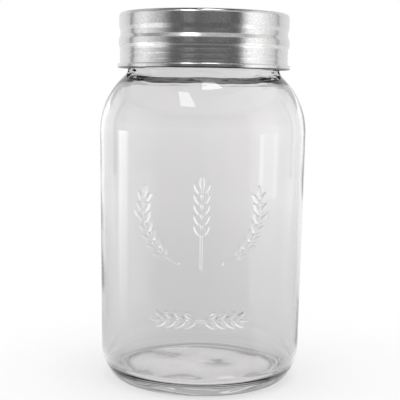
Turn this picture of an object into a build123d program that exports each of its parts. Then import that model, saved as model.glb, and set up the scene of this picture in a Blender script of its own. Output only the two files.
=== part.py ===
from build123d import *

import math
import os

# Wide-mouth glass storage jar of one US gallon with a threaded sheet-metal lid and a disc liner.
# Millimetres, +Z up. The origin is the centre of the circle that the jar stands on.
# Sections are drawn in the XZ plane, where x is the distance from the axis and y is the height.

# Glass body
body_radius = 78.0
shoulder_height = 188.1
wall_taper_deg = 0.735
wall_thickness = 3.8
heel_radius = 32.2
heel_edge_radius = 6.0
heel_edge_turn_deg = 45.2
shoulder_radius = 56.4
neck_radius = 56.7
neck_curve_radius = 11.8

# Glass base: a narrow bearing ring round a domed push-up
bearing_width = 2.5
bearing_edge_radius = 2.0
push_up_edge_radius = 6.0
push_up_edge_deg = 40.0
push_up_dome_radius = 700.0
base_thickness = 7.0
floor_dome_radius = 700.0
floor_corner_radius = 8.0

# Glass finish: what stands above the neck and takes the lid
finish_height = 35.6
finish_radius = 61.3
collar_rise = 0.8
collar_slope_height = 1.2
collar_height = 1.2
collar_step_height = 0.4
collar_overhang = 0.4
collar_root_radius = 0.8
collar_edge_radius = 0.7
collar_step_radius = 0.4
lip_outer_radius = 2.0
lip_inner_radius = 2.2
mouth_radius = 54.5
mouth_land = 12.0
mouth_taper_radius = 20.0

# Glass thread: one right-hand start
thread_pitch = 4.0
thread_depth = 1.2
thread_root_width = 2.4
thread_crest_width = 1.2
thread_turns = 1.5
thread_start_deg = -60.0
thread_drop = 24.4

# Lid shell: one drawn sheet with a rolled thread and an outward hem
sheet = 0.5
lid_clearance = 0.4
lid_height = 41.5
top_band_step = 0.7
groove_step = -0.2
bead_step = 1.0
hem_step = 1.7
lid_corner_radius = 2.75
lid_form_radius = 4.0
groove_start_drop = 10.5
groove_floor_drop = 13.7
groove_end_drop = 17.1
bead_start_drop = 20.1
bead_end_drop = 24.3
band_start_drop = 26.1
hem_height = 3.6
hem_bend_radius = 0.8
hem_edge_gap = 0.3

# Lid top: a shallow recessed panel inside a raised rim
rim_width = 5.0
rim_step_width = 0.8
panel_recess = 1.2
panel_bend_radius = 0.6

# Lid thread: the rolled rib inside and its groove outside
rib_depth = 0.9
rib_root_width = 1.8
rib_crest_width = 0.8
groove_depth = 0.5
groove_mouth_width = 2.2
groove_floor_width = 0.7
rib_lead_deg = 90.0
rib_turns = 2.35
thread_play = 0.3

# Liner disc
liner_thickness = 1.3
liner_side_clearance = 1.0
liner_top_clearance = 0.1
seal_clearance = 0.2

# How a thread is drawn
thread_fade_deg = 50.0
thread_sink = 0.25
sections_per_turn = 12


def cos(angle):
    return math.cos(math.radians(angle))


def sin(angle):
    return math.sin(math.radians(angle))


def tan(angle):
    return math.tan(math.radians(angle))


def step_from(point, distance, angle):
    """The point at a distance from another, in a direction given in degrees from the x axis."""
    return (point[0] + distance * cos(angle), point[1] + distance * sin(angle))


# Outside of the body: the shoulder and the neck curve are two arcs that meet tangentially
shoulder_turn = math.degrees(math.acos(1 - (body_radius - neck_radius) / (shoulder_radius + neck_curve_radius)))
shoulder_centre = (body_radius - shoulder_radius, shoulder_height)
neck_centre = step_from(shoulder_centre, shoulder_radius + neck_curve_radius, shoulder_turn)
neck_height = neck_centre[1]
wall_top = step_from(shoulder_centre, shoulder_radius, -wall_taper_deg)

# Outside of the heel: a wide arc off the wall and a tighter one down to the bearing ring
heel_gap = heel_radius - heel_edge_radius
heel_centre_height = heel_edge_radius + heel_gap * cos(heel_edge_turn_deg)
wall_foot_height = heel_centre_height - heel_radius * sin(wall_taper_deg)
wall_foot_radius = wall_top[0] - (wall_top[1] - wall_foot_height) * tan(wall_taper_deg)
heel_centre = (wall_foot_radius - heel_radius * cos(wall_taper_deg), heel_centre_height)
bearing_outer = heel_centre[0] + heel_gap * sin(heel_edge_turn_deg)
bearing_inner = bearing_outer - bearing_width

# Under the base: the dome, the curve at its edge and the inner edge of the bearing ring
edge_span = push_up_edge_radius + bearing_edge_radius
dome_gap = push_up_dome_radius - push_up_edge_radius
dome_turn = math.degrees(math.asin((bearing_inner - edge_span * sin(push_up_edge_deg)) / dome_gap))
push_up = (
    bearing_edge_radius + push_up_dome_radius - dome_gap * cos(dome_turn) - edge_span * cos(push_up_edge_deg)
)
dome_centre = (0, push_up - push_up_dome_radius)
dome_edge_centre = step_from(dome_centre, dome_gap, 90 - dome_turn)
bearing_centre = (bearing_inner, bearing_edge_radius)

# Inside of the base: a dome that runs into the corner of the floor
floor_height = push_up + base_thickness
inner_foot_radius = wall_foot_radius - wall_thickness * cos(wall_taper_deg)
corner_reach = inner_foot_radius - floor_corner_radius * cos(wall_taper_deg)
floor_turn = math.degrees(math.asin(corner_reach / (floor_dome_radius + floor_corner_radius)))
floor_centre = (0, floor_height - floor_dome_radius)
corner_centre = step_from(floor_centre, floor_dome_radius + floor_corner_radius, 90 - floor_turn)

# Finish heights, from the neck up to the lip
collar_foot = neck_height + collar_rise
collar_edge = collar_foot + collar_slope_height
collar_top = collar_edge + collar_height
finish_foot = collar_top + collar_step_height
collar_radius = finish_radius + collar_overhang
lip_height = neck_height + finish_height
land_foot = (mouth_radius, lip_height - mouth_land)

# The tapered part of the mouth leaves the land and is tangent to the inside of the neck curve
inner_neck_radius = neck_curve_radius + wall_thickness
land_distance = math.dist(land_foot, neck_centre)
land_direction = math.degrees(math.atan2(land_foot[1] - neck_centre[1], land_foot[0] - neck_centre[0]))
mouth_turn = land_direction + math.degrees(math.acos(inner_neck_radius / land_distance))
mouth_foot = step_from(neck_centre, inner_neck_radius, mouth_turn)

# Threads: the lid's rib rides just under the glass thread, and both follow one helix
thread_crest = finish_radius + thread_depth
thread_foot = lip_height - thread_drop - thread_pitch * thread_turns
lid_inner = thread_crest + lid_clearance
rib_crest = lid_inner - rib_depth
engaged_radius = (thread_crest + rib_crest) / 2
thread_flank = (thread_root_width - thread_crest_width) / 2
rib_flank = (rib_root_width - rib_crest_width) / 2
thread_half = thread_crest_width / 2 + thread_flank * (thread_crest - engaged_radius) / thread_depth
rib_half = rib_crest_width / 2 + rib_flank * (engaged_radius - rib_crest) / rib_depth
rib_offset = thread_half + rib_half + thread_play
rib_start_deg = thread_start_deg - rib_lead_deg
rib_foot = thread_foot - thread_pitch * rib_lead_deg / 360 - rib_offset

# Lid heights and the radii of the middle of its sheet
liner_foot = lip_height + seal_clearance
panel_underside = liner_foot + liner_thickness + liner_top_clearance
lid_top = panel_underside + sheet + panel_recess
half_sheet = sheet / 2
skirt_radius = lid_inner + half_sheet
top_band_radius = skirt_radius + top_band_step
groove_radius = skirt_radius + groove_step
bead_radius = skirt_radius + bead_step
hem_radius = skirt_radius + hem_step
panel_radius = top_band_radius + half_sheet - rim_width
rim_height = lid_top - half_sheet
panel_height = panel_underside + half_sheet
hem_foot = lid_top - lid_height + half_sheet
hem_top = hem_foot + hem_height - sheet
hem_edge = skirt_radius + sheet + hem_edge_gap

liner_radius = top_band_radius - half_sheet - liner_side_clearance


def arc(centre, radius, start, end):
    """An arc from one direction to another, both in degrees from the x axis."""
    return CenterArc(centre, radius, start, end - start)


def glass_section():
    """Half section of the glass, from the bearing ring up the outside and down the inside."""
    bearing = Line((bearing_inner, 0), (bearing_outer, 0))
    heel_edge = arc((bearing_outer, heel_edge_radius), heel_edge_radius, -90, heel_edge_turn_deg - 90)
    heel = arc(heel_centre, heel_radius, heel_edge_turn_deg - 90, -wall_taper_deg)
    wall = Line(heel @ 1, wall_top)
    shoulder = arc(shoulder_centre, shoulder_radius, -wall_taper_deg, shoulder_turn)
    neck = arc(neck_centre, neck_curve_radius, 180 + shoulder_turn, 180)
    finish = FilletPolyline(
        neck @ 1,
        (neck_radius, collar_foot),
        (collar_radius, collar_edge),
        (collar_radius, collar_top),
        (finish_radius, finish_foot),
        (finish_radius, lip_height),
        (mouth_radius, lip_height),
        land_foot,
        mouth_foot,
        radius=[
            collar_root_radius,
            collar_edge_radius,
            collar_step_radius,
            collar_step_radius,
            lip_outer_radius,
            lip_inner_radius,
            mouth_taper_radius,
        ],
    )
    inner_neck = arc(neck_centre, inner_neck_radius, mouth_turn, 180 + shoulder_turn)
    inner_shoulder = arc(shoulder_centre, shoulder_radius - wall_thickness, shoulder_turn, -wall_taper_deg)
    corner = arc(corner_centre, floor_corner_radius, -wall_taper_deg, -90 - floor_turn)
    inner_wall = Line(inner_shoulder @ 1, corner @ 0)
    floor = arc(floor_centre, floor_dome_radius, 90 - floor_turn, 90)
    axis = Line((0, floor_height), (0, push_up))
    dome = arc(dome_centre, push_up_dome_radius, 90, 90 - dome_turn)
    dome_edge = arc(dome_edge_centre, push_up_edge_radius, 90 - dome_turn, 90 - push_up_edge_deg)
    bearing_edge = arc(bearing_centre, bearing_edge_radius, 270 - push_up_edge_deg, 270)
    outside = [bearing, heel_edge, heel, wall, shoulder, neck, finish]
    inside = [inner_neck, inner_shoulder, inner_wall, corner, floor, axis]
    underside = [dome, dome_edge, bearing_edge]
    return Plane.XZ * make_face(outside + inside + underside)


def helical_rib(root, crest, root_width, crest_width, sink, foot, start_deg, turns):
    """A right-hand helical rib that stands on a round wall and fades into it at both ends.

    The root and the crest are radii, and a crest inside the root gives a rib that points inwards.
    """
    outward = math.copysign(sink, crest - root)
    back = root - outward
    hidden = root - outward / 2
    back_width = root_width + (root_width - crest_width) * sink / abs(crest - root)
    count = round(sections_per_turn * turns)
    sections = []
    for index in range(count + 1):
        turned = 360 * turns * index / count
        nearest_end = min(turned, 360 * turns - turned)
        fade_share = sin(90 * min(nearest_end / thread_fade_deg, 1))
        tip = hidden + (crest - hidden) * fade_share
        outline = Polyline(
            (back, -back_width / 2),
            (tip, -crest_width / 2),
            (tip, crest_width / 2),
            (back, back_width / 2),
            close=True,
        )
        section = Plane.XZ * make_face(outline)
        sections.append(Pos(0, 0, foot + thread_pitch * turned / 360) * Rot(0, 0, start_deg + turned) * section)
    return loft(sections)


def glass_jar():
    """The whole jar, one piece of glass with its thread moulded on."""
    body = revolve(glass_section(), axis=Axis.Z)
    thread = helical_rib(
        finish_radius,
        thread_crest,
        thread_root_width,
        thread_crest_width,
        thread_sink,
        thread_foot,
        thread_start_deg,
        thread_turns,
    )
    return body + thread


def sheet_face(points, bends, distance):
    """One face of a bent sheet: its middle line moved to the left, with every bend kept concentric."""
    headings = []
    for (x, y), (next_x, next_y) in zip(points, points[1:]):
        headings.append(math.degrees(math.atan2(next_y - y, next_x - x)))
    moved = [step_from(points[0], distance, headings[0] + 90)]
    radii = []
    for corner, heading, next_heading, bend in zip(points[1:], headings, headings[1:], bends):
        turn = (next_heading - heading + 180) % 360 - 180
        moved.append(step_from(corner, distance / cos(turn / 2), heading + turn / 2 + 90))
        radii.append(bend - math.copysign(1, turn) * distance)
    moved.append(step_from(points[-1], distance, headings[-1] + 90))
    return FilletPolyline(*moved, radius=radii)


def lid_section():
    """Half section of the lid's sheet, from the centre of the panel out and down to the hem's edge."""
    middle = [
        (0, panel_height),
        (panel_radius, panel_height),
        (panel_radius + rim_step_width, rim_height),
        (top_band_radius, rim_height),
        (top_band_radius, lid_top - groove_start_drop),
        (groove_radius, lid_top - groove_floor_drop),
        (groove_radius, lid_top - groove_end_drop),
        (bead_radius, lid_top - bead_start_drop),
        (bead_radius, lid_top - bead_end_drop),
        (skirt_radius, lid_top - band_start_drop),
        (skirt_radius, hem_foot),
        (hem_radius, hem_foot),
        (hem_radius, hem_top),
        (hem_edge, hem_top),
    ]
    bends = [panel_bend_radius] * 2 + [lid_corner_radius] + [lid_form_radius] * 6 + [hem_bend_radius] * 3
    top = sheet_face(middle, bends, half_sheet)
    under = sheet_face(middle, bends, -half_sheet)
    centre = Line(top @ 0, under @ 0)
    edge = Line(top @ 1, under @ 1)
    return Plane.XZ * make_face([top, under, centre, edge])


def lid_shell():
    """The metal lid: its drawn and rolled sheet, with the thread pressed inwards."""
    shell = revolve(lid_section(), axis=Axis.Z)
    rib = helical_rib(
        lid_inner,
        rib_crest,
        rib_root_width,
        rib_crest_width,
        half_sheet,
        rib_foot,
        rib_start_deg,
        rib_turns,
    )
    groove = helical_rib(
        lid_inner + sheet,
        lid_inner + sheet - groove_depth,
        groove_mouth_width,
        groove_floor_width,
        half_sheet,
        rib_foot,
        rib_start_deg,
        rib_turns,
    )
    return shell + rib - groove


def lid_liner():
    """The soft disc that the lid presses on the lip."""
    return Pos(0, 0, liner_foot + liner_thickness / 2) * Cylinder(liner_radius, liner_thickness)


parts = {
    "glass_jar": glass_jar(),
    "lid_shell": lid_shell(),
    "lid_liner": lid_liner(),
}

os.makedirs("parts", exist_ok=True)
for name, shape in parts.items():
    export_step(shape, f"parts/{name}.step")
    print(name, len(shape.solids()), round(shape.volume), shape.is_valid)
print("neck", round(neck_height, 2), "lip", round(lip_height, 2), "lid top", round(lid_top, 2))
print("hem foot", round(lid_top - lid_height, 2), "push-up", round(push_up, 2), "foot", round(bearing_outer, 2))
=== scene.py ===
import math

import bpy
import numpy as np
from mathutils import Matrix, Vector

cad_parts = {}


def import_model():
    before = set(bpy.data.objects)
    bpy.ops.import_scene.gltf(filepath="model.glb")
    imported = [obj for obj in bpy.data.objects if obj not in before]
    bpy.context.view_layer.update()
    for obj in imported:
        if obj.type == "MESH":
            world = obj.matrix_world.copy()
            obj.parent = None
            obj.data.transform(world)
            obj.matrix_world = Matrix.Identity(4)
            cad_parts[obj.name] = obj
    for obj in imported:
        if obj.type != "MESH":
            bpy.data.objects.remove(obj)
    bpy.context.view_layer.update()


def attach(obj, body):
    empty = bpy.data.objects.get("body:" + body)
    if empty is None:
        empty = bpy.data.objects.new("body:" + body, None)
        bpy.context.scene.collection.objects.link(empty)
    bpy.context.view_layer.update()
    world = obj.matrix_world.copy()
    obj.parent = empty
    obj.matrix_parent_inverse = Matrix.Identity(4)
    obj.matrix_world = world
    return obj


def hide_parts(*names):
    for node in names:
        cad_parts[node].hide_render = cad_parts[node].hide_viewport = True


# The frame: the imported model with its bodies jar, liner and lid
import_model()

# Sizes of the object are in millimetres, and its meshes are made in metres
# The floor, the studio's cards and the lamps are placed in metres
MM = 0.001

# Camera of the photograph, its place in millimetres
LENS_MM = 92.1
SENSOR_MM = 36.0
CLIP_START_M = 0.01
CAMERA_PLACE = (-1.375, -781.6, 222.1)
CAMERA_PITCH_DEG = 6.33
CAMERA_ROLL_DEG = 0.85

# Glass body, the same sizes as the solid
BODY_RADIUS = 78.0
SHOULDER_HEIGHT = 188.1
WALL_TAPER_DEG = 0.735
WALL = 3.8
HEEL_RADIUS = 32.2
HEEL_EDGE_RADIUS = 6.0
HEEL_EDGE_TURN_DEG = 45.2
SHOULDER_RADIUS = 56.4
NECK_RADIUS = 56.7
NECK_CURVE_RADIUS = 11.8

# Glass base
BEARING_WIDTH = 2.5
BEARING_EDGE_RADIUS = 2.0
PUSH_UP_EDGE_RADIUS = 6.0
PUSH_UP_EDGE_DEG = 40.0
DOME_RADIUS = 700.0
BASE_THICKNESS = 7.0
FLOOR_CORNER_RADIUS = 8.0

# Glass finish
FINISH_HEIGHT = 35.6
FINISH_RADIUS = 61.3
COLLAR_RISE = 0.8
COLLAR_SLOPE = 1.2
COLLAR_HEIGHT = 1.2
COLLAR_STEP = 0.4
COLLAR_OVERHANG = 0.4
COLLAR_ROOT_RADIUS = 0.8
COLLAR_EDGE_RADIUS = 0.7
COLLAR_STEP_RADIUS = 0.4
LIP_OUTER_RADIUS = 2.0
LIP_INNER_RADIUS = 2.2
MOUTH_RADIUS = 54.5
MOUTH_LAND = 12.0
MOUTH_TAPER_RADIUS = 20.0

# Glass thread
THREAD_PITCH = 4.0
THREAD_DEPTH = 1.2
THREAD_ROOT_WIDTH = 2.6
THREAD_CREST_WIDTH = 0.9
THREAD_TURNS = 1.5
THREAD_START_DEG = -60.0
THREAD_DROP = 24.4
THREAD_FADE_DEG = 50.0

# Glass mesh: columns round the jar, and how many times a cell is split where the form is fine
GLASS_COLUMNS = 120
GLASS_SPLIT = 8
CELL_SAMPLES = 5

# Glass mesh: longest stretch between points of the section, and how far past the thread it is finer
WALL_SPACING = 4.0
THREAD_SPACING = 0.4
THREAD_MARGIN = 3.0
NECK_SPACING = 0.7
NECK_FOOT_DROP = 12.0

# Glass mesh: degrees between the points of each arc
DOME_POINT_DEG = 0.4
PUSH_UP_POINT_DEG = 8.0
BEARING_POINT_DEG = 10.0
HEEL_EDGE_POINT_DEG = 5.0
HEEL_POINT_DEG = 3.0
SHOULDER_POINT_DEG = 2.5
NECK_POINT_DEG = 5.0
CORNER_POINT_DEG = 5.0
FINISH_POINT_DEG = 15.0

# Raised ornament on the front: three standing ears of wheat over two that lie end to end
ORNAMENT_HEIGHT = 1.0
ORNAMENT_FOOT = 45.0
ORNAMENT_TOP = 182.0
ORNAMENT_REACH = 66.0
ORNAMENT_WALL_MARGIN = 3.0
FRONT_DEG = 270.0
EAR_FOOT = 97.0
EAR_SPACING = 3.6
MIDDLE_EAR_POINTS = 16
MIDDLE_EAR_BARE_POINTS = 6
SIDE_EAR_RADIUS = 40.5
SIDE_EAR_OFFSET = 3.0
SIDE_EAR_START_DEG = -71.0
SIDE_EAR_POINT_DEG = 5.0
SIDE_EAR_POINTS = 17
SIDE_EAR_BARE_POINTS = 3
LYING_EAR_HEIGHT = 58.0
LYING_EAR_POINTS = 9
LYING_EAR_BARE_POINTS = 1
STALK_WIDTH = 1.5
STALK_EDGE_WIDTH = 0.8
GRAIN_LENGTH = 8.6
GRAIN_WIDTH = 3.6
GRAIN_FOOT_FULLNESS = 1.15
GRAIN_THINNING = 0.35
GRAIN_LEAN_DEG = 32.0
GRAIN_SETBACK = 0.8
TIP_GRAIN_LENGTH = 9.6

# Dents round the bearing ring
STIPPLE_COUNT = 150
STIPPLE_DEPTH = 0.5
STIPPLE_SIZE = 1.4
STIPPLE_EDGE_WIDTH = 0.4
STIPPLE_RADIUS = 61.0
STIPPLE_TOP = 0.2

# Slow waves inside the glass: on the wall, on the floor, and the thicker glass inside the neck
WAVE_HEIGHT = 0.16
WAVE_FOOT = 14.0
WAVE_FADE = 20.0
FLOOR_WAVE_HEIGHT = 0.28
FLOOR_WAVE_TOP = 20.0
FLOOR_WAVE_RADIUS = 58.0
FLOOR_WAVE_FADE = 25.0
SWELL_HEIGHT = 1.0
SWELL_CREST = 230.0
SWELL_BELOW = 8.0
SWELL_ABOVE = 3.5
SWELL_SWAY = 0.8
SWELL_UNEVEN_SHARE = 0.12

# Lid sheet, with the heights of its forms as drops from its top
SHEET = 0.5
LID_CLEARANCE = 0.4
LID_HEIGHT = 41.5
TOP_BAND_STEP = 0.7
GROOVE_STEP = -0.2
BEAD_STEP = 1.0
HEM_STEP = 1.7
LID_CORNER_RADIUS = 2.75
LID_FORM_RADIUS = 3.2
GROOVE_DROPS = (10.5, 13.7, 17.1)
BEAD_DROPS = (20.1, 24.3)
BAND_DROP = 26.1
HEM_HEIGHT = 3.6
HEM_BEND_RADIUS = 0.84
HEM_EDGE_GAP = 0.3
RIM_WIDTH = 5.0
RIM_STEP_WIDTH = 0.8
PANEL_RECESS = 1.2
PANEL_BEND_RADIUS = 0.6

# Lid thread: a rib inside and a faint groove outside
RIB_DEPTH = 0.9
RIB_ROOT_WIDTH = 2.0
RIB_CREST_WIDTH = 0.6
RIB_LEAD_DEG = 90.0
RIB_TURNS = 2.35
RIB_OFFSET = 1.564
GROOVE_DEPTH = 0.2
GROOVE_WIDTH = 2.6
GROOVE_FLOOR_WIDTH = 0.2

# How far from the inside and the outside of the skirt the lid thread still reaches
SKIRT_INNER_MARGIN = 1.0
SKIRT_OUTER_MARGIN = 0.1

# Lid mesh
LID_COLUMNS = 144
LID_POINT_DEG = 12.0
SHEET_SPACING = 3.5
RIB_SPACING = 0.5

# Slight unevenness of the lid's side
DENT_HEIGHT = 0.05
DENT_RADIUS = 50.0
DENT_FADE = 8.0

# Liner, and the ring that the lip presses into it
LINER_THICKNESS = 1.3
SEAL_CLEARANCE = 0.2
LINER_TOP_CLEARANCE = 0.1
LINER_RADIUS = 62.6
LINER_CORNER_RADIUS = 0.35
LINER_COLUMNS = 96
LINER_POINT_DEG = 15.0
LINER_LOWER_POINTS = 60
LINER_UPPER_POINTS = 12
PRESSED_REACH = 3.0
PRESSED_DEPTH = 0.12

# Points of a line that are closer than this are one point
SAME_POINT = 1e-4


def cos(angle):
    """Cosine of an angle in degrees."""
    return math.cos(math.radians(angle))


def sin(angle):
    """Sine of an angle in degrees."""
    return math.sin(math.radians(angle))


def tan(angle):
    """Tangent of an angle in degrees."""
    return math.tan(math.radians(angle))


def step_from(point, distance, angle):
    """The point at a distance from another, in a direction given in degrees from the x axis."""
    return (point[0] + distance * cos(angle), point[1] + distance * sin(angle))


def heading(start, end):
    """Direction from one point to another, in degrees from the x axis."""
    return math.degrees(math.atan2(end[1] - start[1], end[0] - start[0]))


def arc(centre, radius, start, end, point_deg):
    """Points along an arc, at most some degrees apart."""
    count = max(2, math.ceil(abs(end - start) / point_deg))
    return [step_from(centre, radius, start + (end - start) * k / count) for k in range(count + 1)]


def bent(points, radii, point_deg):
    """A line through points with every inner corner rounded to its radius."""
    line = [points[0]]
    for before, corner, after, radius in zip(points, points[1:], points[2:], radii):
        before, corner, after = Vector(before), Vector(corner), Vector(after)
        way_in = (corner - before).normalized()
        way_out = (after - corner).normalized()
        turn = math.degrees(way_in.angle_signed(way_out))
        reach = radius * tan(abs(turn) / 2)
        side = Vector((-way_in.y, way_in.x)) * (-1 if turn > 0 else 1)
        centre = corner - way_in * reach + side * radius
        start = math.degrees(math.atan2(-side.y, -side.x))
        line += arc(centre, radius, start, start - turn, point_deg)
    line.append(points[-1])
    return line


def joined(*runs):
    """One line from several, without the repeated points where they meet."""
    line = []
    for point in [p for run in runs for p in run]:
        if not line or math.dist(line[-1], point) > SAME_POINT:
            line.append((point[0], point[1]))
    return line


def spaced(line, spacing, low=-math.inf, high=math.inf):
    """The line with more points on its runs between two heights, at most a spacing apart."""
    out = [line[0]]
    for start, end in zip(line, line[1:]):
        inside = low < (start[1] + end[1]) / 2 < high
        count = math.ceil(math.dist(start, end) / spacing) if inside else 1
        for k in range(1, count + 1):
            share = k / count
            out.append((start[0] + (end[0] - start[0]) * share, start[1] + (end[1] - start[1]) * share))
    return out


# Centres of the shoulder and the neck, worked out as in the solid
shoulder_reach = SHOULDER_RADIUS + NECK_CURVE_RADIUS
shoulder_turn = math.degrees(math.acos(1 - (BODY_RADIUS - NECK_RADIUS) / shoulder_reach))
shoulder_centre = (BODY_RADIUS - SHOULDER_RADIUS, SHOULDER_HEIGHT)
neck_centre = step_from(shoulder_centre, shoulder_reach, shoulder_turn)
neck_height = neck_centre[1]
wall_top = step_from(shoulder_centre, SHOULDER_RADIUS, -WALL_TAPER_DEG)

# Heel and bearing ring
heel_gap = HEEL_RADIUS - HEEL_EDGE_RADIUS
heel_height = HEEL_EDGE_RADIUS + heel_gap * cos(HEEL_EDGE_TURN_DEG)
wall_foot_height = heel_height - HEEL_RADIUS * sin(WALL_TAPER_DEG)
wall_foot_radius = wall_top[0] - (wall_top[1] - wall_foot_height) * tan(WALL_TAPER_DEG)
heel_centre = (wall_foot_radius - HEEL_RADIUS * cos(WALL_TAPER_DEG), heel_height)
bearing_outer = heel_centre[0] + heel_gap * sin(HEEL_EDGE_TURN_DEG)
bearing_inner = bearing_outer - BEARING_WIDTH

# Push-up of the base, a shallow dome with a rounded edge
edge_span = PUSH_UP_EDGE_RADIUS + BEARING_EDGE_RADIUS
dome_gap = DOME_RADIUS - PUSH_UP_EDGE_RADIUS
dome_turn = math.degrees(math.asin((bearing_inner - edge_span * sin(PUSH_UP_EDGE_DEG)) / dome_gap))
dome_level = BEARING_EDGE_RADIUS + DOME_RADIUS - dome_gap * cos(dome_turn)
push_up = dome_level - edge_span * cos(PUSH_UP_EDGE_DEG)
dome_centre = (0, push_up - DOME_RADIUS)
dome_edge_centre = step_from(dome_centre, dome_gap, 90 - dome_turn)

# Finish, from the collar up to the lip
collar_foot = neck_height + COLLAR_RISE
collar_edge = collar_foot + COLLAR_SLOPE
collar_top = collar_edge + COLLAR_HEIGHT
collar_radius = FINISH_RADIUS + COLLAR_OVERHANG
lip_height = neck_height + FINISH_HEIGHT
thread_crest = FINISH_RADIUS + THREAD_DEPTH
thread_top = lip_height - THREAD_DROP
thread_foot = thread_top - THREAD_PITCH * THREAD_TURNS

# Inside of the mouth and the neck
inner_neck_radius = NECK_CURVE_RADIUS + WALL
land_foot = (MOUTH_RADIUS, lip_height - MOUTH_LAND)
land_turn = math.degrees(math.acos(inner_neck_radius / math.dist(land_foot, neck_centre)))
mouth_turn = heading(neck_centre, land_foot) + land_turn
mouth_foot = step_from(neck_centre, inner_neck_radius, mouth_turn)

# Inside of the base
floor_reach = wall_foot_radius - WALL * cos(WALL_TAPER_DEG) - FLOOR_CORNER_RADIUS * cos(WALL_TAPER_DEG)
corner_gap = DOME_RADIUS + FLOOR_CORNER_RADIUS
floor_turn = math.degrees(math.asin(floor_reach / corner_gap))
floor_centre = (0, push_up + BASE_THICKNESS - DOME_RADIUS)
corner_centre = step_from(floor_centre, corner_gap, 90 - floor_turn)

# Liner and lid, from the lip up
liner_foot = lip_height + SEAL_CLEARANCE
panel_underside = liner_foot + LINER_THICKNESS + LINER_TOP_CLEARANCE
lid_top = panel_underside + SHEET + PANEL_RECESS
lid_inner = thread_crest + LID_CLEARANCE
rib_foot = thread_foot - THREAD_PITCH * RIB_LEAD_DEG / 360 - RIB_OFFSET
rib_top = rib_foot + THREAD_PITCH * RIB_TURNS
rib_start_deg = THREAD_START_DEG - RIB_LEAD_DEG


def glass_base():
    """The underside from its centre out, the bearing ring and the heel."""
    bearing_centre = (bearing_inner, BEARING_EDGE_RADIUS)
    heel_edge_centre = (bearing_outer, HEEL_EDGE_RADIUS)
    push_up_end = 90 - PUSH_UP_EDGE_DEG
    heel_start = HEEL_EDGE_TURN_DEG - 90
    return joined(
        arc(dome_centre, DOME_RADIUS, 90, 90 - dome_turn, DOME_POINT_DEG),
        arc(dome_edge_centre, PUSH_UP_EDGE_RADIUS, 90 - dome_turn, push_up_end, PUSH_UP_POINT_DEG),
        arc(bearing_centre, BEARING_EDGE_RADIUS, 270 - PUSH_UP_EDGE_DEG, 270, BEARING_POINT_DEG),
        arc(heel_edge_centre, HEEL_EDGE_RADIUS, -90, heel_start, HEEL_EDGE_POINT_DEG),
        arc(heel_centre, HEEL_RADIUS, heel_start, -WALL_TAPER_DEG, HEEL_POINT_DEG),
    )


def glass_body():
    """The outside of the shoulder and the neck."""
    return joined(
        arc(shoulder_centre, SHOULDER_RADIUS, -WALL_TAPER_DEG, shoulder_turn, SHOULDER_POINT_DEG),
        arc(neck_centre, NECK_CURVE_RADIUS, 180 + shoulder_turn, 180, NECK_POINT_DEG),
    )


def glass_finish(neck_end):
    """The collar, the wall that carries the thread, the lip and the straight part of the mouth."""
    points = [
        neck_end,
        (NECK_RADIUS, collar_foot),
        (collar_radius, collar_edge),
        (collar_radius, collar_top),
        (FINISH_RADIUS, collar_top + COLLAR_STEP),
        (FINISH_RADIUS, lip_height),
        (MOUTH_RADIUS, lip_height),
        land_foot,
        mouth_foot,
    ]
    collar_radii = [COLLAR_ROOT_RADIUS, COLLAR_EDGE_RADIUS, COLLAR_STEP_RADIUS, COLLAR_STEP_RADIUS]
    lip_radii = [LIP_OUTER_RADIUS, LIP_INNER_RADIUS, MOUTH_TAPER_RADIUS]
    return bent(points, collar_radii + lip_radii, FINISH_POINT_DEG)


def glass_inside():
    """The inside from the neck down the wall to the centre of the floor."""
    inner_shoulder_radius = SHOULDER_RADIUS - WALL
    return joined(
        arc(neck_centre, inner_neck_radius, mouth_turn, 180 + shoulder_turn, NECK_POINT_DEG),
        arc(shoulder_centre, inner_shoulder_radius, shoulder_turn, -WALL_TAPER_DEG, SHOULDER_POINT_DEG),
        arc(corner_centre, FLOOR_CORNER_RADIUS, -WALL_TAPER_DEG, -90 - floor_turn, CORNER_POINT_DEG),
        arc(floor_centre, DOME_RADIUS, 90 - floor_turn, 90, DOME_POINT_DEG),
    )


def glass_profile():
    """The closed half section of the jar and the row at which its inside begins."""
    body = glass_body()
    outside = spaced(joined(glass_base(), body, glass_finish(body[-1])), WALL_SPACING)
    outside = spaced(outside, THREAD_SPACING, thread_foot - THREAD_MARGIN, thread_top + THREAD_MARGIN)
    inside = spaced(glass_inside(), WALL_SPACING)
    inside = spaced(inside, NECK_SPACING, SWELL_CREST - NECK_FOOT_DROP)
    whole = joined(outside, inside)
    lip_row = max(range(len(whole)), key=lambda row: whole[row][1])
    return whole, lip_row


def smooth_step(value):
    """Rises smoothly from 0 to 1 as the value does."""
    value = np.clip(value, 0, 1)
    return value * value * (3 - 2 * value)


def right_of(line):
    """Unit normals on the right of a line, one for each of its points."""
    way = np.gradient(line, axis=0)
    way /= np.linalg.norm(way, axis=1)[:, None]
    return np.stack([way[:, 1], -way[:, 0]], axis=1)


def at_rows(values, rows):
    """The two values of a section's points, at its rows and between them."""
    return [np.interp(rows, np.arange(len(values)), column) for column in values.T]


def cells_with_marks(profile, columns, marked):
    """Which cells of a turned mesh hold a marked point, tested on a grid of points in each."""
    share = np.linspace(0, 1, CELL_SAMPLES)
    row_starts = np.arange(len(profile) - 1)
    column, row, part, rise = np.meshgrid(np.arange(columns), row_starts, share, share, indexing="ij")
    points = profile[row] * (1 - rise[..., None]) + profile[row + 1] * rise[..., None]
    found = marked(((column + part) * 360 / columns).ravel(), points.reshape(-1, 2))
    return found.reshape(column.shape).any(axis=(2, 3))


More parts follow.
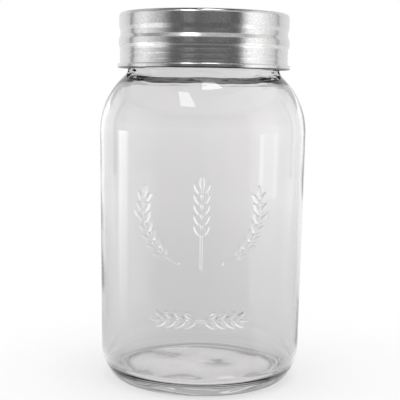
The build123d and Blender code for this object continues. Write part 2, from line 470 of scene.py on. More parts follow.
def cell_outline(cells, column, row, split):
    """Corners round a cell that isn't split, and the points that split neighbours add to its sides."""
    columns, rows = cells.shape
    left, right = column * split, (column + 1) * split
    low, high = row * split, (row + 1) * split

    # The step along each side is 1 beside a split cell, and a whole side beside a plain one
    below = 1 if row > 0 and cells[column, row - 1] else split
    after = 1 if cells[(column + 1) % columns, row] else split
    above = 1 if row < rows - 1 and cells[column, row + 1] else split
    before = 1 if cells[column - 1, row] else split
    outline = [(a, low) for a in range(left, right, below)]
    outline += [(right, b) for b in range(low, high, after)]
    outline += [(a, high) for a in range(right, left, -above)]
    outline += [(left, b) for b in range(high, low, -before)]
    return outline


def turned_faces(cells, split):
    """Faces of a turned mesh, and the column and row of each of their points in the split grid."""
    columns, rows = cells.shape
    indices = {}

    def index(column, row):
        """Number of a point. All columns share the points on the axis."""
        on_axis = row in (0, rows * split)
        place = (0 if on_axis else column % (columns * split), row)
        return indices.setdefault(place, len(indices))

    faces = []
    for column, row in np.ndindex(columns, rows):
        if not cells[column, row]:
            outline = cell_outline(cells, column, row, split)
            faces.append(list(dict.fromkeys(index(a, b) for a, b in outline)))
            continue
        for part, rise in np.ndindex(split, split):
            a, b = column * split + part, row * split + rise
            faces.append([index(a, b), index(a + 1, b), index(a + 1, b + 1), index(a, b + 1)])
    return faces, np.array(list(indices), float)


def mesh_piece(name, places, faces):
    """A new object in the scene, with a mesh of its own."""
    mesh = bpy.data.meshes.new(name)
    mesh.from_pydata(places, [], faces)
    piece = bpy.data.objects.new(name, mesh)
    bpy.context.scene.collection.objects.link(piece)
    return piece


def turned_mesh(name, profile, columns, relief, split=1, marked=None):
    """A closed turned mesh from a half section that runs out from the axis and back to it.

    The relief moves each point along its normal. Cells that hold a marked point are split finer.
    """
    profile = np.array(profile)
    cells = np.zeros((columns, len(profile) - 1), bool)
    if marked:
        cells = cells_with_marks(profile, columns, marked)
    faces, grid = turned_faces(cells, split)
    normals = right_of(profile)

    # Both ends lie on the axis, where the surface is level
    normals[0] = (0, -1)
    normals[-1] = (0, 1)

    angles = grid[:, 0] * 360 / (columns * split)
    rows = grid[:, 1] / split
    radius, height = at_rows(profile, rows)
    outward, upward = at_rows(normals, rows)
    lift = relief(angles, radius, height, rows)
    radius = radius + outward * lift
    height = height + upward * lift
    turn = np.radians(angles)
    places = np.stack([radius * np.cos(turn), radius * np.sin(turn), height], axis=1) * MM
    piece = mesh_piece(name, places.tolist(), faces)
    piece.data.polygons.foreach_set("use_smooth", [True] * len(faces))
    piece.data.update()
    return piece


def helix_relief(angle, height, foot, start_deg, turns, root_width, crest_width):
    """Height share of a helical rib at each point, 1 on its crest, with ends that fade out."""
    relief = np.zeros_like(angle)
    turned_once = np.mod(angle - start_deg, 360)
    for lap in range(math.ceil(turns) + 1):
        turned = turned_once + 360 * lap
        nearest_end = np.minimum(turned, 360 * turns - turned)
        fade = smooth_step(nearest_end / THREAD_FADE_DEG)
        away = np.abs(height - foot - THREAD_PITCH * turned / 360)
        across = smooth_step((root_width / 2 - away) / ((root_width - crest_width) / 2))
        relief = np.maximum(relief, fade * across)
    return relief


def side_ear_path(side):
    """Points up the curved stalk of a side ear, in arc length across the front and height."""
    turned = np.radians(SIDE_EAR_START_DEG + SIDE_EAR_POINT_DEG * np.arange(SIDE_EAR_POINTS))
    across = SIDE_EAR_RADIUS * np.cos(turned) + SIDE_EAR_OFFSET
    up = EAR_FOOT + SIDE_EAR_RADIUS * (1 + np.sin(turned))
    return [(side * x, z) for x, z in zip(across, up)]


def middle_ear_path():
    """Points up the straight stalk of the ear in the middle."""
    return [(0.0, EAR_FOOT + EAR_SPACING * k) for k in range(MIDDLE_EAR_POINTS)]


def lying_ear_path(side):
    """Points along the straight stalk of a lying ear, from the middle out to the side."""
    return [(side * EAR_SPACING * k, LYING_EAR_HEIGHT) for k in range(LYING_EAR_POINTS)]


def stalk(across, up, start, end):
    """Height share of a stretch of stalk between two points, 1 on its flat top."""
    run = np.array(end) - np.array(start)
    along = ((across - start[0]) * run[0] + (up - start[1]) * run[1]) / (run @ run)
    along = np.clip(along, 0, 1)
    away = np.hypot(across - start[0] - along * run[0], up - start[1] - along * run[1])
    return smooth_step((STALK_WIDTH / 2 - away) / STALK_EDGE_WIDTH + 0.5)


def grain(across, up, foot, direction, length):
    """Height share of a grain: a pointed oval, fuller near its foot, with a rounded back."""
    x = (across - foot[0]) * cos(direction) + (up - foot[1]) * sin(direction)
    y = -(across - foot[0]) * sin(direction) + (up - foot[1]) * cos(direction)
    share = np.clip(x / length, 0, 1)
    oval = np.sqrt(np.clip(4 * share * (1 - share), 0, 1))
    half = GRAIN_WIDTH / 2 * oval * (GRAIN_FOOT_FULLNESS - GRAIN_THINNING * share)
    inside = (x > 0) & (x < length) & (np.abs(y) < half)
    across_share = np.abs(y) / np.maximum(half, 1e-6)
    return np.where(inside, np.sqrt(np.clip(1 - across_share**2, 0, 1)), 0)


def ear(across, up, path, bare_points):
    """Height share of an ear: its stalk, pairs of grains past the bare points and a grain at the tip."""
    relief = np.zeros_like(across)
    for start, end in zip(path[:-2], path[1:-1]):
        relief = np.maximum(relief, stalk(across, up, start, end))
    for start, end in zip(path[bare_points::2], path[bare_points + 1::2]):
        ahead = heading(start, end)
        for lean in (-GRAIN_LEAN_DEG, GRAIN_LEAN_DEG):
            foot = step_from(start, GRAIN_SETBACK, ahead + 2 * lean)
            relief = np.maximum(relief, grain(across, up, foot, ahead + lean, GRAIN_LENGTH))
    tip = grain(across, up, path[-1], heading(path[-2], path[-1]), TIP_GRAIN_LENGTH)
    return np.maximum(relief, tip)


def ornament(across, up):
    """Height share of the whole ornament at each point of the front."""
    ears = [ear(across, up, middle_ear_path(), MIDDLE_EAR_BARE_POINTS)]
    for side in (-1, 1):
        ears.append(ear(across, up, side_ear_path(side), SIDE_EAR_BARE_POINTS))
        ears.append(ear(across, up, lying_ear_path(side), LYING_EAR_BARE_POINTS))
    return np.maximum.reduce(ears)


def front_place(angle, radius):
    """Arc length across the front from its middle line."""
    return np.radians(np.mod(angle - FRONT_DEG + 180, 360) - 180) * radius


def on_ornament(angle, radius, height):
    """Which points are on the part of the wall that has the ornament."""
    on_wall = radius > BODY_RADIUS - ORNAMENT_WALL_MARGIN
    in_band = (height > ORNAMENT_FOOT) & (height < ORNAMENT_TOP)
    return on_wall & in_band & (np.abs(front_place(angle, radius)) < ORNAMENT_REACH)


def stipple(angle, radius):
    """Depth share of the dents round the bearing ring, 1 at their deepest."""
    pitch = 360 / STIPPLE_COUNT
    along = np.radians(np.mod(angle, pitch) - pitch / 2) * STIPPLE_RADIUS
    away = np.hypot(along, radius - STIPPLE_RADIUS)
    return smooth_step((STIPPLE_SIZE / 2 - away) / STIPPLE_EDGE_WIDTH + 0.5)


def wall_waves(angle, height):
    """Slow waves of the inner wall, as pressed and blown glass has, flat towards the floor and the neck."""
    turn = np.radians(angle)
    wave = np.sin(2 * turn + 0.021 * height + 0.6) + 0.7 * np.sin(5 * turn - 0.043 * height + 2.1)
    wave += 0.5 * np.sin(9 * turn + 0.09 * height) * np.sin(0.05 * height + 1.0)
    fade = smooth_step((height - WAVE_FOOT) / WAVE_FADE) * smooth_step((neck_height - height) / WAVE_FADE)
    return fade * (wave * WAVE_HEIGHT / 2)


def floor_waves(angle, radius, height):
    """Slow waves of the inside floor, flat at its edge."""
    x = radius * np.cos(np.radians(angle))
    y = radius * np.sin(np.radians(angle))
    wave = np.sin(0.09 * x + 0.03 * y + 0.8) * np.sin(0.10 * y - 0.02 * x + 0.5)
    wave += 0.3 * np.sin(0.13 * x - 0.11 * y)
    lift = FLOOR_WAVE_HEIGHT * wave * smooth_step((FLOOR_WAVE_RADIUS - radius) / FLOOR_WAVE_FADE)
    return np.where(height > FLOOR_WAVE_TOP, 0, lift)


def neck_swell(angle, height):
    """The thicker glass inside the neck, where the pressed finish meets the blown body."""
    turn = np.radians(angle)
    uneven = 0.6 * np.sin(7 * turn + 0.4) + 0.4 * np.sin(16 * turn + 1.9) + 0.3 * np.sin(29 * turn)
    away = height - SWELL_CREST - SWELL_SWAY * uneven
    share = np.where(away < 0, 1 + away / SWELL_BELOW, 1 - away / SWELL_ABOVE)
    return SWELL_HEIGHT * (1 + SWELL_UNEVEN_SHARE * uneven) * smooth_step(share)


def outside_lift(angle, radius, height):
    """How far the outside of the glass stands proud: its ornament and thread, less the dents of its foot."""
    lift = np.zeros_like(height)
    front = on_ornament(angle, radius, height)
    lift[front] = ORNAMENT_HEIGHT * ornament(front_place(angle[front], BODY_RADIUS), height[front])
    widths = (THREAD_ROOT_WIDTH, THREAD_CREST_WIDTH)
    thread = helix_relief(angle, height, thread_foot, THREAD_START_DEG, THREAD_TURNS, *widths)
    lift += THREAD_DEPTH * thread
    lift -= np.where(height < STIPPLE_TOP, STIPPLE_DEPTH * stipple(angle, radius), 0)
    return lift


def inside_lift(angle, radius, height):
    """How far the inside of the glass stands proud: its slow waves and the swell of the neck."""
    return wall_waves(angle, height) + neck_swell(angle, height) + floor_waves(angle, radius, height)


def fine_glass(angle, points):
    """Which points of the section are on the ornament or in a dent, where the mesh is finer."""
    radius, height = points.T
    fine = (height < STIPPLE_TOP) & (stipple(angle, radius) > 0)
    front = on_ornament(angle, radius, height)
    fine[front] = ornament(front_place(angle[front], BODY_RADIUS), height[front]) > 0
    return fine


def glass_jar():
    """The jar, one closed piece of glass with its thread, ornament, stippled foot and wavy inside."""
    profile, lip_row = glass_profile()

    def relief(angle, radius, height, row):
        outside = outside_lift(angle, radius, height)
        return np.where(row < lip_row, outside, inside_lift(angle, radius, height))

    return turned_mesh("jar_glass", profile, GLASS_COLUMNS, relief, GLASS_SPLIT, fine_glass)


def lid_path():
    """The middle of the lid's sheet, from the centre of the panel to the edge of the hem."""
    half = SHEET / 2
    skirt = lid_inner + half
    band = skirt + TOP_BAND_STEP
    panel = band + half - RIM_WIDTH
    hem_foot = lid_top - LID_HEIGHT + half
    hem_top = hem_foot + HEM_HEIGHT - SHEET
    points = [
        (0, panel_underside + half),
        (panel, panel_underside + half),
        (panel + RIM_STEP_WIDTH, lid_top - half),
        (band, lid_top - half),
        (band, lid_top - GROOVE_DROPS[0]),
        (skirt + GROOVE_STEP, lid_top - GROOVE_DROPS[1]),
        (skirt + GROOVE_STEP, lid_top - GROOVE_DROPS[2]),
        (skirt + BEAD_STEP, lid_top - BEAD_DROPS[0]),
        (skirt + BEAD_STEP, lid_top - BEAD_DROPS[1]),
        (skirt, lid_top - BAND_DROP),
        (skirt, hem_foot),
        (skirt + HEM_STEP, hem_foot),
        (skirt + HEM_STEP, hem_top),
        (skirt + SHEET + HEM_EDGE_GAP, hem_top),
    ]
    bends = [PANEL_BEND_RADIUS] * 2 + [LID_CORNER_RADIUS] + [LID_FORM_RADIUS] * 6 + [HEM_BEND_RADIUS] * 3
    return joined(bent(points, bends, LID_POINT_DEG))


def lid_profile():
    """The closed half section of the lid's sheet and the row at which its outside begins."""
    path = spaced(lid_path(), SHEET_SPACING)
    path = np.array(spaced(path, RIB_SPACING, rib_foot - THREAD_MARGIN, rib_top + THREAD_MARGIN))
    side = right_of(path) * SHEET / 2
    under = path + side
    over = (path - side)[::-1]
    under[0][0] = 0
    over[-1][0] = 0
    return joined(under.tolist(), over.tolist()), len(under)


def dents(angle, radius, height):
    """Slight unevenness of the drawn sheet, on its side only."""
    turn = np.radians(angle)
    uneven = np.sin(3 * turn + 0.3 * height) + 0.6 * np.sin(7 * turn - 0.22 * height + 1.3)
    uneven += 0.5 * np.sin(17 * turn + 0.5 * height + 0.4) * np.sin(0.31 * height + 4 * turn)
    return smooth_step((radius - DENT_RADIUS) / DENT_FADE) * (uneven * DENT_HEIGHT / 2)


def lid_shell():
    """The lid: one drawn sheet with the pressed thread, its curled hem and slight dents."""
    profile, over_row = lid_profile()

    def relief(angle, radius, height, row):
        under = row < over_row
        place = (rib_foot, rib_start_deg, RIB_TURNS)
        rib = helix_relief(angle, height, *place, RIB_ROOT_WIDTH, RIB_CREST_WIDTH)
        groove = helix_relief(angle, height, *place, GROOVE_WIDTH, GROOVE_FLOOR_WIDTH)
        skirt_face = lid_inner + SHEET
        on_skirt = (radius > lid_inner - SKIRT_INNER_MARGIN) & (radius < skirt_face + SKIRT_OUTER_MARGIN)
        lift = np.where(on_skirt & under, RIB_DEPTH * rib, 0)
        lift -= np.where(on_skirt & ~under, GROOVE_DEPTH * groove, 0)
        shift = dents(angle, radius, height)
        return lift + np.where(under, -shift, shift)

    return turned_mesh("lid_sheet", profile, LID_COLUMNS, relief)


def lid_liner():
    """The foam disc with its rounded edge and the ring that the lip presses into it."""
    liner_top = liner_foot + LINER_THICKNESS
    flat = LINER_RADIUS - LINER_CORNER_RADIUS
    lower_centre = (flat, liner_foot + LINER_CORNER_RADIUS)
    upper_centre = (flat, liner_top - LINER_CORNER_RADIUS)
    profile = joined(
        [(radius, liner_foot) for radius in np.linspace(0, flat, LINER_LOWER_POINTS)],
        arc(lower_centre, LINER_CORNER_RADIUS, -90, 0, LINER_POINT_DEG),
        arc(upper_centre, LINER_CORNER_RADIUS, 0, 90, LINER_POINT_DEG),
        [(radius, liner_top) for radius in np.linspace(flat, 0, LINER_UPPER_POINTS)],
    )
    lip_middle = (FINISH_RADIUS + MOUTH_RADIUS) / 2

    def relief(angle, radius, height, row):
        pressed = smooth_step(1 - np.abs(radius - lip_middle) / PRESSED_REACH)
        return np.where(height < lower_centre[1], -PRESSED_DEPTH * pressed, 0)

    return turned_mesh("lid_foam_liner", profile, LINER_COLUMNS, relief)


# Glass: tints, roughness, and bumps in metres
GLASS_TINTS = ((0.25, (0.952, 0.944, 0.948)), (0.75, (0.966, 0.958, 0.962)))
GLASS_ROUGHNESS = (0.0, 0.015)
GLASS_IOR = 1.5
GLASS_WAVE_BUMP = 0.0012

# Tinplate: darker and lighter grains, and roughness
TIN_TINTS = ((0.3, (0.62, 0.625, 0.625)), (0.5, (0.72, 0.72, 0.715)), (0.7, (0.80, 0.80, 0.795)))
TIN_ROUGHNESS = (0.13, 0.26)

# Painted shade that darkens the metal along the underside of the hem: its darkest height and where it ends,
# above the lid's foot, and its level
HEM_SHADE_DARKEST = 0.5
HEM_SHADE_END = 1.3
HEM_SHADE_LEVEL = 0.12

# Foam
FOAM_TINTS = ((0.3, (0.80, 0.79, 0.755)), (0.7, (0.87, 0.865, 0.84)))
FOAM_ROUGHNESS = (0.55, 0.8)

# Height of fine surface bumps in metres
FINE_BUMP = 0.0002

# Floor: how white the camera sees it near the object, and the distances over which it turns white
FLOOR_SIZE = 60.0
FLOOR_DROP = 0.0003
FLOOR_TINTS = ((0.2, (0.955, 0.955, 0.955)), (0.8, (0.975, 0.975, 0.975)))
FLOOR_WHITE_NEAR = 0.6
FLOOR_NEAR_RADIUS = 0.10
FLOOR_FAR_RADIUS = 0.45

# Floor: how bright metal and glass see it at each distance from the axis, with a painted contact shadow in
# the ring under the edge of the jar
FLOOR_LEVELS = ((0.055, 0.9), (0.061, 0.45), (0.0695, 0.45), (0.071, 1.0), (0.25, 0.95))

# World: its strength as light on the object, and where it is seen
WORLD_LIGHT = 0.8
WORLD_SEEN = 1.0


def node(tree, kind, values=None, **settings):
    """A shader node with some of its settings, and plain values for some of its inputs."""
    made = tree.nodes.new(kind)
    for name, setting in settings.items():
        setattr(made, name, setting)
    for name, value in (values or {}).items():
        made.inputs[name].default_value = value
    return made


def new_material(name):
    """An empty node material, its tree and its output."""
    material = bpy.data.materials.new(name)
    material.use_nodes = True
    tree = material.node_tree
    tree.nodes.clear()
    return material, tree, tree.nodes.new("ShaderNodeOutputMaterial")


def surface_material(name, values):
    """A material with one principled shader, and the object's own coordinates for its patterns."""
    material, tree, output = new_material(name)
    shader = node(tree, "ShaderNodeBsdfPrincipled", values)
    tree.links.new(shader.outputs["BSDF"], output.inputs["Surface"])
    place = tree.nodes.new("ShaderNodeTexCoord").outputs["Object"]
    return material, tree, shader.inputs, place


def ramp(tree, source, stops):
    """A colour ramp fed by a value. Each stop is a place and a colour."""
    made = tree.nodes.new("ShaderNodeValToRGB")
    while len(made.color_ramp.elements) < len(stops):
        made.color_ramp.elements.new(0.5)
    for element, (place, colour) in zip(made.color_ramp.elements, stops):
        element.position = place
        element.color = (*colour, 1)
    tree.links.new(source, made.inputs["Fac"])
    return made.outputs["Color"]


def noise(tree, place, scale, detail=3.0, roughness=0.5, stretch=(1, 1, 1)):
    """A noise value between 0 and 1 at each place."""
    mapping = node(tree, "ShaderNodeMapping", {"Scale": stretch})
    made = node(tree, "ShaderNodeTexNoise", {"Scale": scale, "Detail": detail, "Roughness": roughness})
    tree.links.new(place, mapping.inputs["Vector"])
    tree.links.new(mapping.outputs["Vector"], made.inputs["Vector"])
    return made.outputs["Fac"]


def map_range(tree, source, low, high):
    """A value between 0 and 1, spread between low and high."""
    made = node(tree, "ShaderNodeMapRange", {"To Min": low, "To Max": high})
    tree.links.new(source, made.inputs["Value"])
    return made.outputs["Result"]


def smooth_range(tree, source, near, far, low, high):
    """A value that goes smoothly from low to high as its source goes from near to far."""
    values = {"From Min": near, "From Max": far, "To Min": low, "To Max": high}
    made = node(tree, "ShaderNodeMapRange", values, interpolation_type="SMOOTHSTEP")
    tree.links.new(source, made.inputs["Value"])
    return made.outputs["Result"]


def bump(tree, source, strength, distance, before=None):
    """A normal bent by a height value, on top of the one before."""
    made = node(tree, "ShaderNodeBump", {"Strength": strength, "Distance": distance})
    tree.links.new(source, made.inputs["Height"])
    if before is not None:
        tree.links.new(before, made.inputs["Normal"])
    return made.outputs["Normal"]


def mixed(tree, share, first, second):
    """A mix of two shaders, all second where the share is 1."""
    made = tree.nodes.new("ShaderNodeMixShader")
    tree.links.new(share, made.inputs["Fac"])
    tree.links.new(first, made.inputs[1])
    tree.links.new(second, made.inputs[2])
    return made.outputs["Shader"]


def glass_material():
    """Clear soda-lime glass with a faint grey tint and slight surface waves."""
    values = {"Transmission Weight": 1.0, "IOR": GLASS_IOR}
    material, tree, inputs, place = surface_material("clear_glass", values)
    slow = noise(tree, place, scale=14, detail=2, stretch=(1, 1, 0.35))
    fine = noise(tree, place, scale=90, roughness=0.55)
    tree.links.new(ramp(tree, slow, GLASS_TINTS), inputs["Base Color"])
    tree.links.new(map_range(tree, fine, *GLASS_ROUGHNESS), inputs["Roughness"])
    waves = bump(tree, slow, strength=0.25, distance=GLASS_WAVE_BUMP)
    both = bump(tree, fine, strength=0.08, distance=FINE_BUMP, before=waves)
    tree.links.new(both, inputs["Normal"])
    return material


def hem_painted_shade(tree, place, tint):
    """The metal's colour, darkened by painted shade in a line along the underside of the hem."""
    parts = tree.nodes.new("ShaderNodeSeparateXYZ")
    tree.links.new(place, parts.inputs["Vector"])
    foot = lid_top - LID_HEIGHT
    low, high = (foot + HEM_SHADE_DARKEST) * MM, (foot + HEM_SHADE_END) * MM
    # Painted shade: the tint is scaled down to this level towards the hem's foot
    unshaded_share = smooth_range(tree, parts.outputs["Z"], low, high, HEM_SHADE_LEVEL, 1.0)
    shaded = node(tree, "ShaderNodeVectorMath", operation="SCALE")
    tree.links.new(tint, shaded.inputs[0])
    tree.links.new(unshaded_share, shaded.inputs["Scale"])
    return shaded.outputs["Vector"]


def lid_material():
    """Bright tinplate: a fine rolled grain with mottled roughness."""
    material, tree, inputs, place = surface_material("tinplate", {"Metallic": 1.0})
    mottle = noise(tree, place, scale=900, roughness=0.6)
    grain_lines = noise(tree, place, scale=420, roughness=0.6, stretch=(1, 1, 0.25))
    cloud = noise(tree, place, scale=22)
    tint = ramp(tree, mottle, TIN_TINTS)
    # Base colour with painted shade along the underside of the hem
    tree.links.new(hem_painted_shade(tree, place, tint), inputs["Base Color"])
    tree.links.new(map_range(tree, cloud, *TIN_ROUGHNESS), inputs["Roughness"])
    rolled = bump(tree, grain_lines, strength=0.12, distance=FINE_BUMP)
    both = bump(tree, mottle, strength=0.10, distance=FINE_BUMP, before=rolled)
    tree.links.new(both, inputs["Normal"])
    return material


def foam_material():
    """White closed-cell foam with fine pores."""
    material, tree, inputs, place = surface_material("liner_foam", {})
    pores = noise(tree, place, scale=900, roughness=0.6)
    cloud = noise(tree, place, scale=30)
    tree.links.new(ramp(tree, cloud, FOAM_TINTS), inputs["Base Color"])
    tree.links.new(map_range(tree, pores, *FOAM_ROUGHNESS), inputs["Roughness"])
    tree.links.new(bump(tree, pores, strength=0.3, distance=FINE_BUMP), inputs["Normal"])
    return material


def larger(tree, first, second):
    """The larger of two values."""
    made = node(tree, "ShaderNodeMath", operation="MAXIMUM")
    tree.links.new(first, made.inputs[0])
    tree.links.new(second, made.inputs[1])
    return made.outputs["Value"]


def seen_directly(tree):
    """1 for rays that look, reflect or pass through, and 0 for rays that carry diffuse light."""
    rays = tree.nodes.new("ShaderNodeLightPath").outputs
    looking = larger(tree, rays["Is Camera Ray"], rays["Is Glossy Ray"])
    return larger(tree, looking, rays["Is Transmission Ray"])


def floor_material():
    """Pale floor that is white where nothing shades it and keeps the shadow near the object."""
    material, tree, output = new_material("pale_floor")
    place = tree.nodes.new("ShaderNodeTexCoord").outputs["Object"]
    diffuse = tree.nodes.new("ShaderNodeBsdfDiffuse")
    tree.links.new(ramp(tree, noise(tree, place, scale=40), FLOOR_TINTS), diffuse.inputs["Color"])
    lit = diffuse.outputs["BSDF"]
    length = node(tree, "ShaderNodeVectorMath", operation="LENGTH")
    tree.links.new(place, length.inputs[0])
    distance = length.outputs["Value"]

    # The camera sees the lit floor near the object and plain white farther out
    white = tree.nodes.new("ShaderNodeEmission").outputs["Emission"]
    whiteness = smooth_range(tree, distance, FLOOR_NEAR_RADIUS, FLOOR_FAR_RADIUS, FLOOR_WHITE_NEAR, 1.0)
    for_camera = mixed(tree, whiteness, lit, white)

    # Metal and glass see it as plain levels, with a painted contact shadow under the edge of the jar
    plain = tree.nodes.new("ShaderNodeEmission")
    greys = [(reach, (level, level, level)) for reach, level in FLOOR_LEVELS]
    tree.links.new(ramp(tree, distance, greys), plain.inputs["Color"])
    for_others = mixed(tree, seen_directly(tree), lit, plain.outputs["Emission"])

    camera_ray = tree.nodes.new("ShaderNodeLightPath").outputs["Is Camera Ray"]
    tree.links.new(mixed(tree, camera_ray, for_others, for_camera), output.inputs["Surface"])
    material.cycles.emission_sampling = "NONE"
    return material


def floor():
    """The wide plain floor that the jar stands on."""
    half = FLOOR_SIZE / 2
    corners = [(-half, -half, 0), (half, -half, 0), (half, half, 0), (-half, half, 0)]
    piece = mesh_piece("floor", corners, [(0, 1, 2, 3)])
    piece.location.z = -FLOOR_DROP
    piece.data.materials.append(floor_material())


def world():
    """White all round, and a little dimmer as light on the object."""
    made = bpy.data.worlds.new("studio")
    bpy.context.scene.world = made
    made.use_nodes = True
    made.cycles.sampling_method = "NONE"
    tree = made.node_tree
    tree.nodes.clear()
    background = node(tree, "ShaderNodeBackground", {"Color": (1, 1, 1, 1)})
    strength = map_range(tree, seen_directly(tree), WORLD_LIGHT, WORLD_SEEN)
    tree.links.new(strength, background.inputs["Strength"])
    output = tree.nodes.new("ShaderNodeOutputWorld")
    tree.links.new(background.outputs["Background"], output.inputs["Surface"])


def even(level, start=-180, end=180):
    """One level from a direction to another, or all round."""
    return ((start, level), (end, level))


# Edges of the cards that metal and the face of the glass reflect: distance from the axis and height
WALL_FOOT = (1.6, -0.05)
WALL_TOP = (1.6, 1.0)
CEILING_TOP = (0.97, 1.64)
ZENITH = (0.02, 2.6)
TABLE_NEAR = (0.34, 0.002)
TABLE_FAR = (1.6, 0.002)
FOOT_NEAR = (0.07, 0.003)
FOOT_FAR = (0.34, 0.003)

# Levels of those cards: pairs of a direction in degrees to the right of the camera's side, and a brightness
ROOM_LEVELS = (
    (-180, 0.95), (-140, 0.95), (-126, 0.9), (-116, 0.8), (-113, 0.1), (-110, 0.1), (-107, 0.8), (-98, 0.95),
    (-86, 1.12), (-75, 0.86), (-65, 0.67), (-56, 0.53), (-48, 0.24), (-42, 0.12), (-30, 0.14), (-24, 0.26),
    (-16, 0.26), (-10, 0.13), (4, 0.19), (28, 0.2), (38, 0.12), (48, 0.12), (54, 0.9), (60, 1.3), (72, 1.35),
    (82, 1.2), (94, 0.95), (106, 0.8), (110, 0.8), (112, 0.2), (115, 0.2), (117, 0.85), (180, 0.95),
)
CEILING_LEVELS = (
    (-180, 0.6), (-100, 0.6), (-80, 0.35), (-46, 0.6), (50, 0.6), (66, 0.5), (76, 1.0), (180, 0.6),
)
ZENITH_LEVELS = even(0.12)
TABLE_LEVELS = (
    (-180, 0.9), (-140, 0.9), (-112, 0.8), (-86, 1.2), (-60, 1.1), (-45, 0.15), (48, 0.15), (54, 1.2),
    (121, 0.9), (180, 0.9),
)
FOOT_LEVELS = (
    (-180, 0.9), (-112, 0.8), (-86, 1.1), (-60, 0.7), (-45, 0.25), (48, 0.25), (56, 1.0), (180, 0.9),
)

# Windows that show as bright patches on the shoulder
LEFT_WINDOW = {"levels": even(5.4, -29, -9), "lower": (1.25, 1.2), "upper": (0.6, 1.2), "slant": -17}
TOP_WINDOW = {"levels": even(6.5, -4, 42), "lower": (0.12, 1.2), "upper": (0.45, 1.2)}

# Strips close to the object that show as streaks down the glass, the left one fading towards its foot
LEFT_STRIP_TOP_LEVELS = ((-93, 0.9), (-89, 5.0), (-80, 5.0), (-74, 0.9))
LEFT_STRIP_FOOT_LEVELS = ((-93, 0.9), (-89, 1.1), (-80, 1.1), (-74, 0.9))
RIGHT_STRIP_LEVELS = ((54, 1.2), (56, 3.5), (59, 3.5), (61, 2.0), (70, 1.9), (75, 2.6), (79, 1.0))
LEFT_STRIP_FOOT = (0.25, 0.0)
RIGHT_STRIP_FOOT = (0.25, 0.12)
STRIP_TOP = (0.25, 0.19)

# Edges of the cards that only show through the glass: a floor out from the jar, a far wall and dim bands
BACK_NEAR = (0.069, 0.004)
BACK_MIDDLE = (1.2, 0.004)
BACK_FOOT = (5.0, 0.004)
BACK_TOP = (5.0, 1.0)
DIM_FOOT = (5.0, 2.1)
DIM_TOP = (5.0, 3.4)
DIM_ZENITH = (0.02, 6.0)

# Levels of those cards: darker sides draw the edges of the glass, and dim bands the lines of its forms
BACK_NEAR_LEVELS = even(0.64)
BACK_LEVELS = (
    (-180, 0.72), (-171, 0.75), (-161, 0.98), (-150, 1.1), (-138, 0.75), (-128, 0.4), (-116, 0.4),
    (-105, 0.8), (105, 0.8), (116, 0.4), (128, 0.4), (138, 0.75), (150, 1.1), (161, 1.0), (172, 0.84),
    (180, 0.72),
)
BACK_FAR_SHARE = 1.1
DIM_LOW_LEVELS = even(0.45)
DIM_BAND_LEVELS = even(0.12)
DIM_ABOVE_LEVELS = even(0.5)

# Degrees between the points of a card
CARD_POINT_DEG = 3

# Lamps: place, target, size and watts
LEFT_LAMP = {"place": (-1.3, -0.3, 0.7), "target": (0, 0, 0.14), "size": (0.5, 0.8), "watts": 3}
TOP_LAMP = {"place": (0.2, -0.1, 1.8), "target": (0, 0, 0.1), "size": (1.0, 1.0), "watts": 8}


def card_material():
    """Plain light whose level is stored in the card's own points."""
    material, tree, output = new_material("studio_card")
    level = node(tree, "ShaderNodeAttribute", attribute_name="level")
    light = tree.nodes.new("ShaderNodeEmission")
    tree.links.new(level.outputs["Fac"], light.inputs["Strength"])
    tree.links.new(light.outputs["Emission"], output.inputs["Surface"])
    material.cycles.emission_sampling = "NONE"
    return material


def card(name, material, levels, lower, upper, upper_levels=None, slant=0, through_glass=False):
    """A curved studio card round the object, between a lower and an upper edge.

    The upper edge can have its own levels, and the slant turns it by some degrees.
    Reflections show the card, or only what the glass lets through does.
    """
    turns, values = zip(*levels)
    steps = [turn for start, end in zip(turns, turns[1:]) for turn in np.arange(start, end, CARD_POINT_DEG)]
    steps.append(turns[-1])
    places = []
    for turn in steps:
        for (distance, height), turned in ((lower, turn), (upper, turn + slant)):
            places.append((distance * sin(turned), -distance * cos(turned), height))
    faces = [(2 * k, 2 * k + 2, 2 * k + 3, 2 * k + 1) for k in range(len(steps) - 1)]
    piece = mesh_piece(name, places, faces)

    stored = piece.data.attributes.new("level", "FLOAT", "POINT")
    below = np.interp(steps, turns, values)
    above = np.interp(steps, *zip(*upper_levels)) if upper_levels else below
    stored.data.foreach_set("value", np.stack([below, above], axis=1).ravel())
    piece.data.materials.append(material)
    piece.visible_camera = False
    piece.visible_diffuse = False
    piece.visible_shadow = False
    piece.visible_glossy = not through_glass
    piece.visible_transmission = through_glass


def reflected_room(light):
    """The walls, ceiling and table that the object reflects, with windows and strips."""
    card("card_walls", light, ROOM_LEVELS, WALL_FOOT, WALL_TOP)
    card("card_ceiling", light, CEILING_LEVELS, WALL_TOP, CEILING_TOP)
    card("card_zenith", light, ZENITH_LEVELS, CEILING_TOP, ZENITH)
    card("card_table", light, TABLE_LEVELS, TABLE_NEAR, TABLE_FAR)
    card("card_table_near", light, FOOT_LEVELS, FOOT_NEAR, FOOT_FAR)
    card("window_left", light, **LEFT_WINDOW)
    card("window_over", light, **TOP_WINDOW)
    card("strip_left", light, LEFT_STRIP_FOOT_LEVELS, LEFT_STRIP_FOOT, STRIP_TOP, LEFT_STRIP_TOP_LEVELS)
    card("strip_right", light, RIGHT_STRIP_LEVELS, RIGHT_STRIP_FOOT, STRIP_TOP)


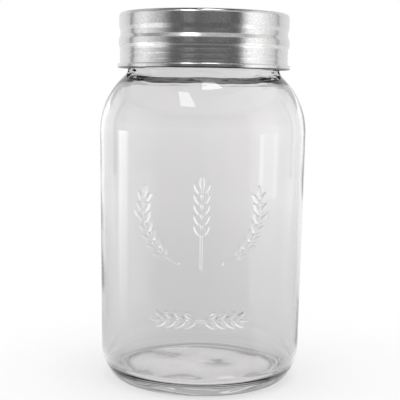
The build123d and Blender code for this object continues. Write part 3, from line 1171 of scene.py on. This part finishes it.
def room_through_glass(light):
    """The floor, the wall and the dim bands that show through the glass."""
    far_levels = [(turn, BACK_FAR_SHARE * level) for turn, level in BACK_LEVELS]
    card("back_near", light, BACK_NEAR_LEVELS, BACK_NEAR, BACK_MIDDLE, BACK_LEVELS, through_glass=True)
    card("back_floor", light, BACK_LEVELS, BACK_MIDDLE, BACK_FOOT, far_levels, through_glass=True)
    card("back_wall", light, far_levels, BACK_FOOT, BACK_TOP, through_glass=True)
    card("dim_low", light, DIM_LOW_LEVELS, BACK_TOP, DIM_FOOT, through_glass=True)
    card("dim_band", light, DIM_BAND_LEVELS, DIM_FOOT, DIM_TOP, through_glass=True)
    card("dim_above", light, DIM_ABOVE_LEVELS, DIM_TOP, DIM_ZENITH, through_glass=True)


def area_lamp(name, place, target, size, watts):
    """A soft lamp that lights the object and doesn't show in it."""
    data = bpy.data.lights.new(name, "AREA")
    data.shape = "RECTANGLE"
    data.size, data.size_y = size
    data.energy = watts
    lamp = bpy.data.objects.new(name, data)
    lamp.location = place
    lamp.rotation_euler = (Vector(target) - Vector(place)).to_track_quat("-Z", "Y").to_euler()
    lamp.visible_glossy = False
    lamp.visible_transmission = False
    bpy.context.scene.collection.objects.link(lamp)


def studio():
    """The room round the object and its soft lamps."""
    light = card_material()
    reflected_room(light)
    room_through_glass(light)
    area_lamp("lamp_left", **LEFT_LAMP)
    area_lamp("lamp_top", **TOP_LAMP)


def camera():
    """The camera at the photograph's place and angle."""
    data = bpy.data.cameras.new("camera")
    data.lens = LENS_MM
    data.sensor_width = SENSOR_MM
    data.clip_start = CLIP_START_M
    made = bpy.data.objects.new("camera", data)
    pitch = Matrix.Rotation(math.radians(90 - CAMERA_PITCH_DEG), 4, "X")
    roll = Matrix.Rotation(math.radians(CAMERA_ROLL_DEG), 4, "Z")
    made.matrix_world = Matrix.Translation(Vector(CAMERA_PLACE) * MM) @ pitch @ roll
    bpy.context.scene.collection.objects.link(made)
    bpy.context.scene.camera = made


def dress(piece, material, body, cad_node):
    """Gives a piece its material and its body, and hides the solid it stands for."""
    piece.data.materials.append(material)
    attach(piece, body)
    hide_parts(cad_node)


camera()
world()
floor()
studio()
dress(glass_jar(), glass_material(), "jar", "glass_jar")
dress(lid_shell(), lid_material(), "lid", "lid_shell")
dress(lid_liner(), foam_material(), "liner", "lid_liner")

bpy.context.scene.view_settings.view_transform = "Standard"
